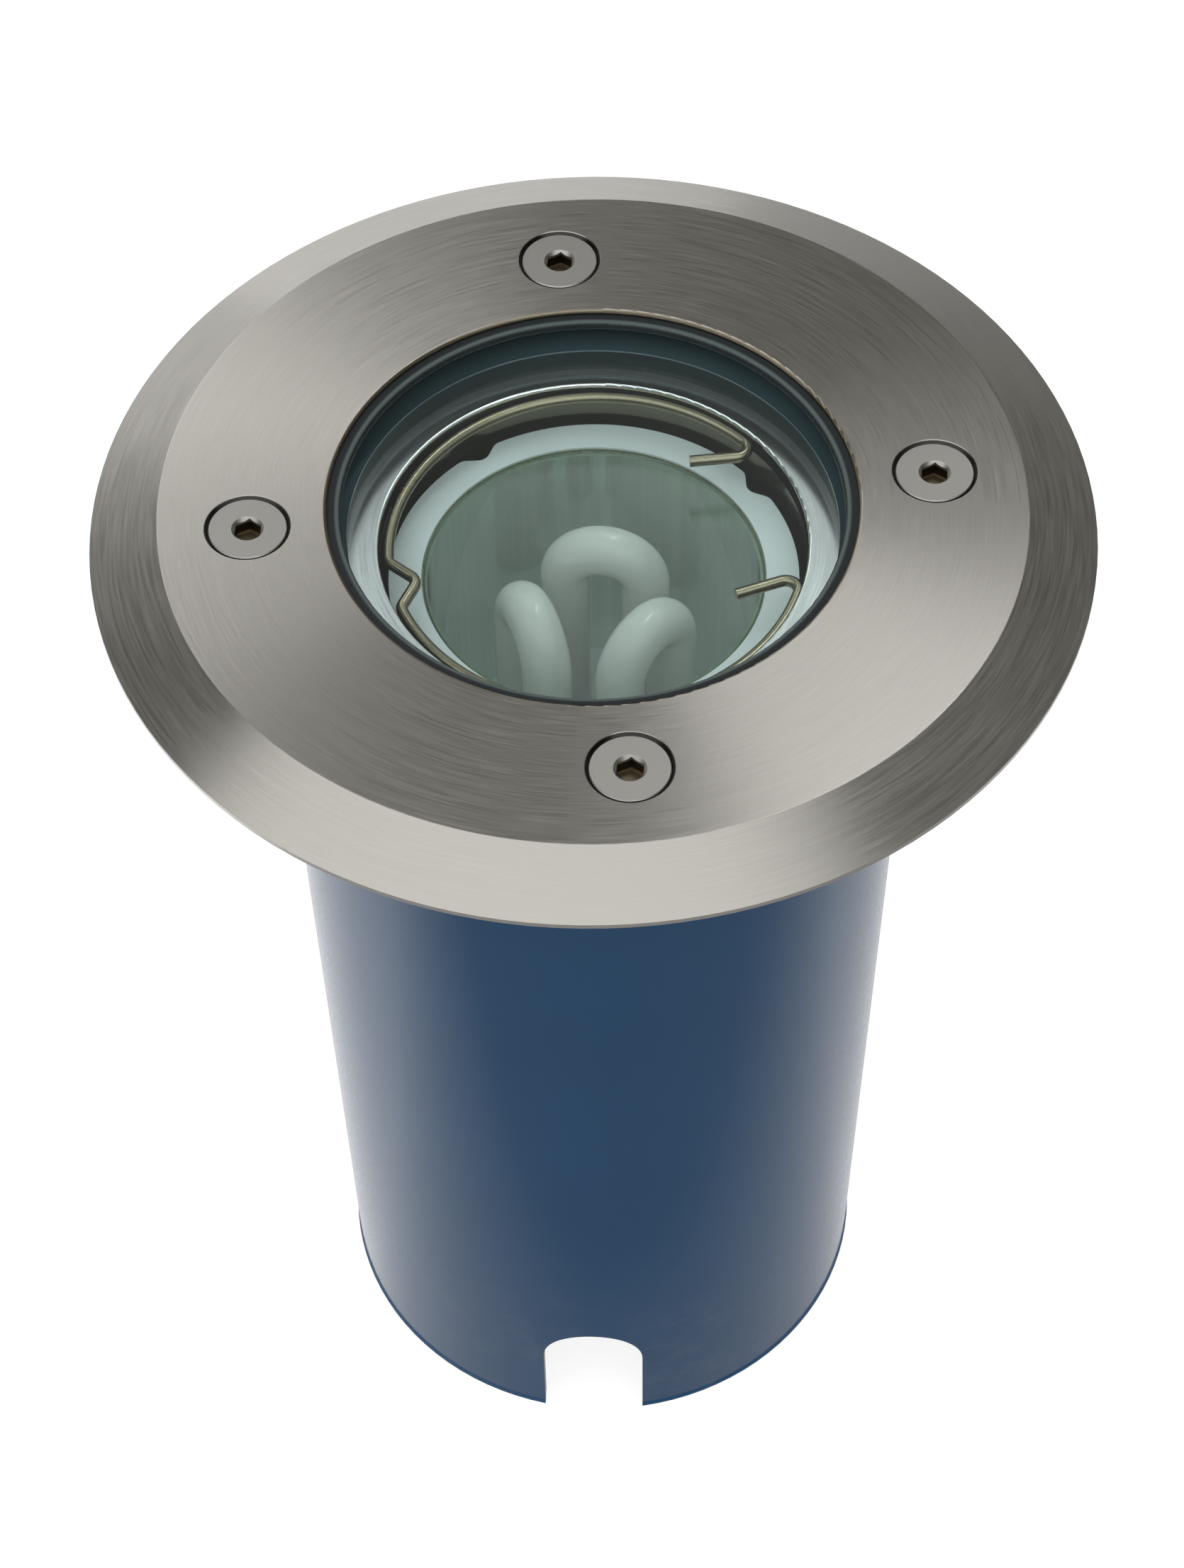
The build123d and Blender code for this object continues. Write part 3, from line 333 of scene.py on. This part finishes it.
def turned_screw(name, colour, roughness):
    """Screw steel with fine turned rings on the head, painted shade on the socket's walls and brown on
    its floor.
    """
    # Near-black walls of the hex socket: painted shade in the recess.
    socket_painted_shade = (0.03, 0.022, 0.016)
    socket_bottom = (0.30, 0.25, 0.16)
    rings_per_metre = 6000.0
    mouth_depth = 0.0005
    material, tree, shader = principled(name, Metallic=1.0)
    rings = tree.nodes.new("ShaderNodeCombineXYZ")
    distance = screw_distance(tree)
    tree.links.new(math_node(tree, "MULTIPLY", distance, rings_per_metre), rings.inputs["X"])
    ring = noise(tree, rings.outputs[0], 1.0, detail=2.0)
    tint = spread(tree, ring, 0.0, 1.0, NOISE_LOW, NOISE_HIGH)
    face = tinted(tree, tint, colour, 0.95, 1.03)
    level = split(tree, object_place(tree))["Z"]
    mouth_foot = SCREW_HEAD_TOP - mouth_depth
    below_mouth = spread(tree, level, 1.0, 0.0, mouth_foot - COARSE_STEP, mouth_foot)
    shank_top = SOCKET_FLOOR - COARSE_STEP
    above_shank = spread(tree, level, 0.0, 1.0, shank_top, shank_top + FINE_STEP)
    near_axis = spread(tree, distance, 1.0, 0.0, SOCKET_RADIUS, SOCKET_RADIUS + FINE_STEP)
    in_middle = math_node(tree, "MULTIPLY", above_shank, near_axis)
    in_socket = math_node(tree, "MULTIPLY", below_mouth, in_middle)
    on_floor = spread(tree, level, 1.0, 0.0, SOCKET_FLOOR + FINE_STEP, SOCKET_FLOOR + COARSE_STEP)
    socket = blend(tree, on_floor, socket_painted_shade, socket_bottom)
    tree.links.new(blend(tree, in_socket, face, socket), shader.inputs["Base Color"])
    rough = spread(tree, ring, roughness - 0.02, roughness + 0.03, NOISE_LOW, NOISE_HIGH)
    tree.links.new(rough, shader.inputs["Roughness"])
    return material


def moulded(name, colour, roughness, grain=1800.0, relief=0.00003):
    """Moulded plastic, ceramic or rubber with a fine grain and faint blotches."""
    material, tree, shader = principled(name)
    place = object_place(tree)
    fine = noise(tree, place, grain, detail=3.0, roughness=0.6)
    broad = noise(tree, place, 60.0, detail=3.0)
    tint = spread(tree, broad, 0.0, 1.0, 0.25, 0.75)
    tree.links.new(tinted(tree, tint, colour, 0.93, 1.05), shader.inputs["Base Color"])
    rough = spread(tree, fine, roughness - 0.05, roughness + 0.07, NOISE_LOW, NOISE_HIGH)
    tree.links.new(rough, shader.inputs["Roughness"])
    bump(tree, shader, fine, relief, 0.25)
    return material


def clear_glass(name, colour, smears, edge_radius=None):
    """Clear glass with faint smears, olive outside the edge radius. It casts no hard shadow."""
    olive_edge = (0.42, 0.46, 0.26)
    edge_step = 0.00008
    material, tree, shader = principled(name, IOR=1.52, Transmission_Weight=1.0)
    place = object_place(tree)
    smear = noise(tree, place, smears, detail=4.0, roughness=0.6)
    tree.links.new(spread(tree, smear, 0.0, 0.03, 0.5, 0.8), shader.inputs["Roughness"])
    tint = spread(tree, smear, 0.0, 1.0, NOISE_LOW, NOISE_HIGH)
    body = blend(tree, tint, shaded(colour, 0.99), colour)
    if edge_radius:
        radius = ring_place(tree, 1.0, 1.0, 1.0)[1]
        at_edge = spread(tree, radius, 0.0, 1.0, edge_radius - edge_step, edge_radius + edge_step)
        body = blend(tree, at_edge, body, olive_edge)
    tree.links.new(body, shader.inputs["Base Color"])
    open_shader = node(tree, "ShaderNodeBsdfTransparent", Color=(*colour, 1.0))
    light_path = tree.nodes.new("ShaderNodeLightPath")
    mixed = tree.nodes.new("ShaderNodeMixShader")
    tree.links.new(light_path.outputs["Is Shadow Ray"], mixed.inputs[0])
    tree.links.new(shader.outputs[0], mixed.inputs[1])
    tree.links.new(open_shader.outputs[0], mixed.inputs[2])
    tree.links.new(mixed.outputs[0], tree.nodes["Material Output"].inputs["Surface"])
    return material


def sleeve_plastic(name):
    """Semi-gloss blue plastic, a little scuffed near the foot."""
    colour = (0.015, 0.078, 0.185)
    scuffed = (0.11, 0.15, 0.22)
    scuff_height = 0.04
    material, tree, shader = principled(name, IOR=1.42)
    place = object_place(tree)
    fine = noise(tree, place, 1500.0, detail=3.0, roughness=0.6)
    broad = noise(tree, place, 40.0, detail=3.0)
    tint = spread(tree, broad, 0.0, 1.0, 0.25, 0.75)
    body = tinted(tree, tint, colour, 0.95, 1.05)
    scuff_top = FLOOR_LEVEL + scuff_height
    near_foot = spread(tree, split(tree, place)["Z"], 1.0, 0.0, FLOOR_LEVEL, scuff_top)
    patch = noise(tree, place, 160.0, detail=6.0, roughness=0.7)
    scuff = spread(tree, patch, 0.0, 0.5, 0.52, 0.75)
    share = math_node(tree, "MULTIPLY", near_foot, scuff)
    tree.links.new(blend(tree, share, body, scuffed), shader.inputs["Base Color"])
    tree.links.new(spread(tree, fine, 0.14, 0.22, NOISE_LOW, NOISE_HIGH), shader.inputs["Roughness"])
    bump(tree, shader, fine, 0.00003, 0.15)
    return material


def turned_housing(name):
    """Aluminium: turned shelf and cast on the outside, with painted reflection and shade in the bore
    (olive at the top, darker brown lower down) and a painted black shadow in the clip groove.
    """
    bright = (0.93, 0.95, 0.95)
    cast = (0.50, 0.51, 0.51)
    # Bore tones are painted light: olive is a painted reflection, brown is painted shade, black is the
    # groove's painted shadow.
    olive = (0.26, 0.25, 0.18)
    brown = (0.15, 0.14, 0.105)
    black = (0.012, 0.012, 0.011)
    groove_reach = 0.0012
    edge_depth = 0.0005
    shade_depth = 0.002
    material, tree, shader = principled(
        name, Metallic=1.0, Anisotropic=0.70, Anisotropic_Rotation=BRUSH_TURN
    )
    place, radius, level = ring_place(tree, 3.0, 5000.0, 5000.0)
    line = noise(tree, place, 1.0, detail=4.0, roughness=0.6)
    tint = spread(tree, line, 0.0, 1.0, NOISE_LOW, NOISE_HIGH)
    bore_reach = BORE_RADIUS + groove_reach
    in_pot = math_node(
        tree,
        "MULTIPLY",
        spread(tree, level, 0.0, 1.0, POT_FLOOR - 2 * edge_depth, POT_FLOOR - edge_depth),
        spread(tree, radius, 1.0, 0.0, bore_reach, bore_reach + WIDE_STEP),
    )
    pocket_edge = POCKET_RADIUS + FINE_STEP
    in_pocket = math_node(
        tree,
        "MULTIPLY",
        spread(tree, level, 0.0, 1.0, POCKET_FOOT, POCKET_FOOT + WIDE_STEP),
        spread(tree, radius, 1.0, 0.0, pocket_edge, pocket_edge + WIDE_STEP),
    )
    inside = math_node(tree, "MAXIMUM", in_pot, in_pocket)
    bore_top = SHELF_LEVEL - edge_depth
    below_shelf = spread(tree, level, 1.0, 0.0, bore_top, bore_top + WIDE_STEP)
    in_bore = math_node(tree, "MULTIPLY", in_pot, below_shelf)
    # Painted shade: the bore wall darkens from olive to brown going down past the groove, and the groove
    # is painted black.
    below_groove = spread(tree, level, 1.0, 0.0, GROOVE_BOTTOM - shade_depth, GROOVE_TOP)
    in_groove = spread(tree, radius, 0.0, 1.0, BORE_RADIUS + 0.00002, BORE_RADIUS + 0.00008)
    bore = blend(tree, in_groove, blend(tree, below_groove, olive, brown), black)
    grain = noise(tree, object_place(tree), 900.0, detail=4.0)
    grain = spread(tree, grain, 0.0, 1.0, NOISE_LOW, NOISE_HIGH)
    rough_cast = tinted(tree, grain, cast, 0.88, 1.08)
    turned = tinted(tree, tint, bright, 0.9, 1.05)
    turned = blend(tree, inside, rough_cast, turned)
    tree.links.new(blend(tree, in_bore, turned, bore), shader.inputs["Base Color"])
    outside = spread(tree, inside, 1.0, 0.0)
    cast_rough = math_node(tree, "MULTIPLY", outside, spread(tree, grain, 0.40, 0.50))
    turned_rough = spread(tree, line, 0.11, 0.15, NOISE_LOW, NOISE_HIGH)
    rough = math_node(tree, "MAXIMUM", turned_rough, cast_rough)
    tree.links.new(rough, shader.inputs["Roughness"])
    brush_round(tree, shader)
    bump(tree, shader, line, 0.00002, 0.06)
    return material


# Materials, one for each slot of the record
MATERIALS = {
    "sleeve_plastic": sleeve_plastic("sleeve_plastic"),
    "bezel_steel": brushed_ring("bezel_steel", (0.62, 0.60, 0.565), 0.32, 7000.0),
    "screw_steel": turned_screw("screw_steel", (0.54, 0.53, 0.505), 0.42),
    "cover_glass": clear_glass("cover_glass", (0.91, 0.975, 0.965), 90.0),
    "gasket_rubber": gasket_with_painted_light("gasket_rubber", (0.040, 0.058, 0.067), 0.32),
    "housing_aluminium": turned_housing("housing_aluminium"),
    "clip_steel": plain_metal("clip_steel", (0.29, 0.26, 0.18), 0.22),
    "lamp_white": moulded("lamp_white", (0.60, 0.65, 0.65), 0.45),
    "lamp_clear": clear_glass("lamp_clear", (0.955, 0.975, 0.96), 120.0, LAMP_GLASS_EDGE),
    "lamp_silver": drawn_silver("lamp_silver", (0.80, 0.89, 0.81), 0.09),
    "tube_white": moulded("tube_white", (0.68, 0.68, 0.66), 0.16, grain=400.0, relief=0.000005),
    "board_green": moulded("board_green", (0.05, 0.17, 0.08), 0.4),
    "ferrite": moulded("ferrite", (0.05, 0.05, 0.055), 0.55),
    "capacitor_film": moulded("capacitor_film", (0.06, 0.06, 0.10), 0.25),
    "ceramic_white": moulded("ceramic_white", (0.80, 0.78, 0.73), 0.5),
    "brass": plain_metal("brass", (0.72, 0.56, 0.28), 0.26),
    "gland_brass": plain_metal("gland_brass", (0.64, 0.62, 0.58), 0.28),
    "zinc_steel": plain_metal("zinc_steel", (0.60, 0.61, 0.62), 0.32),
    "terminal_plastic": moulded("terminal_plastic", (0.78, 0.76, 0.69), 0.4),
    "seal_rubber": moulded("seal_rubber", (0.022, 0.022, 0.023), 0.6),
    "lead_brown": moulded("lead_brown", (0.16, 0.07, 0.035), 0.4),
    "lead_blue": moulded("lead_blue", (0.03, 0.10, 0.36), 0.4),
    "lead_green": moulded("lead_green", (0.18, 0.40, 0.06), 0.4),
}
for subpart in frame["record"]["subparts"]:
    mesh = nodes[subpart["node"]].data
    mesh.materials.clear()
    mesh.materials.append(MATERIALS[subpart["material_slot"]])


def floor_material():
    """A pale floor that keeps shadows. In reflections it is darker at the front and on the right."""
    material, tree, shader = principled("floor_white", Base_Color=FLOOR_GREY, Roughness=0.9)
    light_path = tree.nodes.new("ShaderNodeLightPath")
    to_eye = light_path.outputs["Is Camera Ray"]
    mirrored = math_node(
        tree,
        "MAXIMUM",
        light_path.outputs["Is Glossy Ray"],
        light_path.outputs["Is Transmission Ray"],
    )
    parts = split(tree, object_place(tree))
    leftward = math_node(tree, "MINIMUM", parts["X"], 0.0)
    leftward = math_node(tree, "MULTIPLY", leftward, FLOOR_SLANT)
    backward = math_node(tree, "ADD", parts["Y"], leftward)
    from_front = spread(tree, backward, 0.0, 1.0, *FLOOR_FRONT)
    from_right = spread(tree, parts["X"], 1.0, FLOOR_RIGHT_LEVEL, *FLOOR_RIGHT)
    fade = math_node(tree, "MULTIPLY", from_front, from_right)
    mirrored = math_node(tree, "MULTIPLY", mirrored, fade)
    glow = node(tree, "ShaderNodeEmission", Color=(1.0, 1.0, 1.0, 1.0))
    seen = math_node(tree, "MAXIMUM", to_eye, mirrored)
    tree.links.new(math_node(tree, "MULTIPLY", seen, FLOOR_GLOW), glow.inputs["Strength"])
    added = tree.nodes.new("ShaderNodeAddShader")
    tree.links.new(shader.outputs[0], added.inputs[0])
    tree.links.new(glow.outputs[0], added.inputs[1])
    tree.links.new(added.outputs[0], tree.nodes["Material Output"].inputs["Surface"])
    return material


bpy.ops.mesh.primitive_grid_add(
    x_subdivisions=8,
    y_subdivisions=8,
    size=FLOOR_SIZE,
    location=(0, 0, FLOOR_LEVEL),
)
floor = bpy.context.object
floor.name = "floor"
floor.data.materials.append(floor_material())

# World: white to the eye, dark overhead and to the right in reflections, an even fill for the rest
world = bpy.data.worlds.new("studio")
bpy.context.scene.world = world
world.use_nodes = True
sky = world.node_tree
sky_parts = split(sky, sky.nodes.new("ShaderNodeTexCoord").outputs["Generated"])
sky_path = sky.nodes.new("ShaderNodeLightPath")
to_eye = sky_path.outputs["Is Camera Ray"]
through_glass = sky_path.outputs["Is Transmission Ray"]
seen = math_node(sky, "MAXIMUM", to_eye, sky_path.outputs["Is Glossy Ray"])
seen = math_node(sky, "MAXIMUM", seen, through_glass)
overhead = spread(sky, sky_parts["Z"], 0.0, 1.0, HORIZON_START, HORIZON_END)
horizon = spread(sky, sky_parts["X"], 1.0, HORIZON_RIGHT, *HORIZON_TURN)
horizon = math_node(sky, "MAXIMUM", horizon, through_glass)
scattered = spread(sky, sky_path.outputs["Diffuse Depth"], 0.0, 1.0)
mirrored = spread(sky, sky_parts["X"], INNER_LEFT, INNER_RIGHT, *INNER_TURN)
mirrored = math_node(sky, "MULTIPLY", math_node(sky, "SUBTRACT", 1.0, scattered), mirrored)
inner = math_node(sky, "ADD", math_node(sky, "MULTIPLY", scattered, INNER_FILL), mirrored)
ceiling = math_node(sky, "MAXIMUM", math_node(sky, "MULTIPLY", inner, through_glass), CEILING_LEVEL)
room = node(sky, "ShaderNodeMix")
sky.links.new(overhead, room.inputs["Factor"])
sky.links.new(horizon, room.inputs["A"])
sky.links.new(ceiling, room.inputs["B"])
shown = math_node(sky, "MULTIPLY", math_node(sky, "MAXIMUM", room.outputs["Result"], to_eye), seen)
unseen = math_node(sky, "MULTIPLY", math_node(sky, "SUBTRACT", 1.0, seen), FILL_LEVEL)
sky.links.new(math_node(sky, "ADD", shown, unseen), sky.nodes["Background"].inputs["Strength"])
warm = math_node(sky, "MULTIPLY", overhead, sky_path.outputs["Is Glossy Ray"])
warm = math_node(sky, "MULTIPLY", warm, math_node(sky, "SUBTRACT", 1.0, through_glass))
sky.links.new(blend(sky, warm, (1.0, 1.0, 1.0), CEILING_COLOUR), sky.nodes["Background"].inputs["Color"])


def soft_box(name, azimuth, elevation, wide, high, brightness, distance):
    """A lamp that faces the bezel from that direction and looks that many degrees wide and high."""
    width = 2.0 * distance * math.tan(math.radians(wide / 2.0))
    depth = 2.0 * distance * math.tan(math.radians(high / 2.0))
    lamp = bpy.data.lights.new(name, "AREA")
    lamp.shape = "RECTANGLE"
    lamp.size = width
    lamp.size_y = depth
    lamp.energy = brightness * math.pi * width * depth
    holder = bpy.data.objects.new(name, lamp)
    bpy.context.collection.objects.link(holder)
    turn, rise = math.radians(azimuth), math.radians(elevation)
    holder.location = (
        distance * math.cos(rise) * math.cos(turn),
        distance * math.cos(rise) * math.sin(turn),
        distance * math.sin(rise),
    )
    holder.rotation_euler = (math.radians(90.0 - elevation), 0.0, turn + math.pi / 2)


# Lamps: name, azimuth, elevation, width and height in degrees, brightness, distance
soft_box("left_box", 116.9, 38.9, 17.0, 31.9, 1.6, 1.06)
soft_box("back_strip", 69.3, 60.1, 4.3, 22.0, 9.1, 1.03)
soft_box("low_box", 99.2, 5.0, 29.2, 12.0, 0.8, 1.49)
soft_box("front_box", 252.8, 60.1, 90.0, 56.0, 1.15, 0.65)

# Camera
camera_data = bpy.data.cameras.new("camera")
camera_data.sensor_width = CAMERA_SENSOR
camera_data.lens = CAMERA_LENS
camera = bpy.data.objects.new("camera", camera_data)
bpy.context.collection.objects.link(camera)
camera.location = CAMERA_PLACE
camera.rotation_euler = [math.radians(angle) for angle in CAMERA_TURN]
bpy.context.scene.camera = camera
bpy.context.scene.view_settings.view_transform = "Standard"
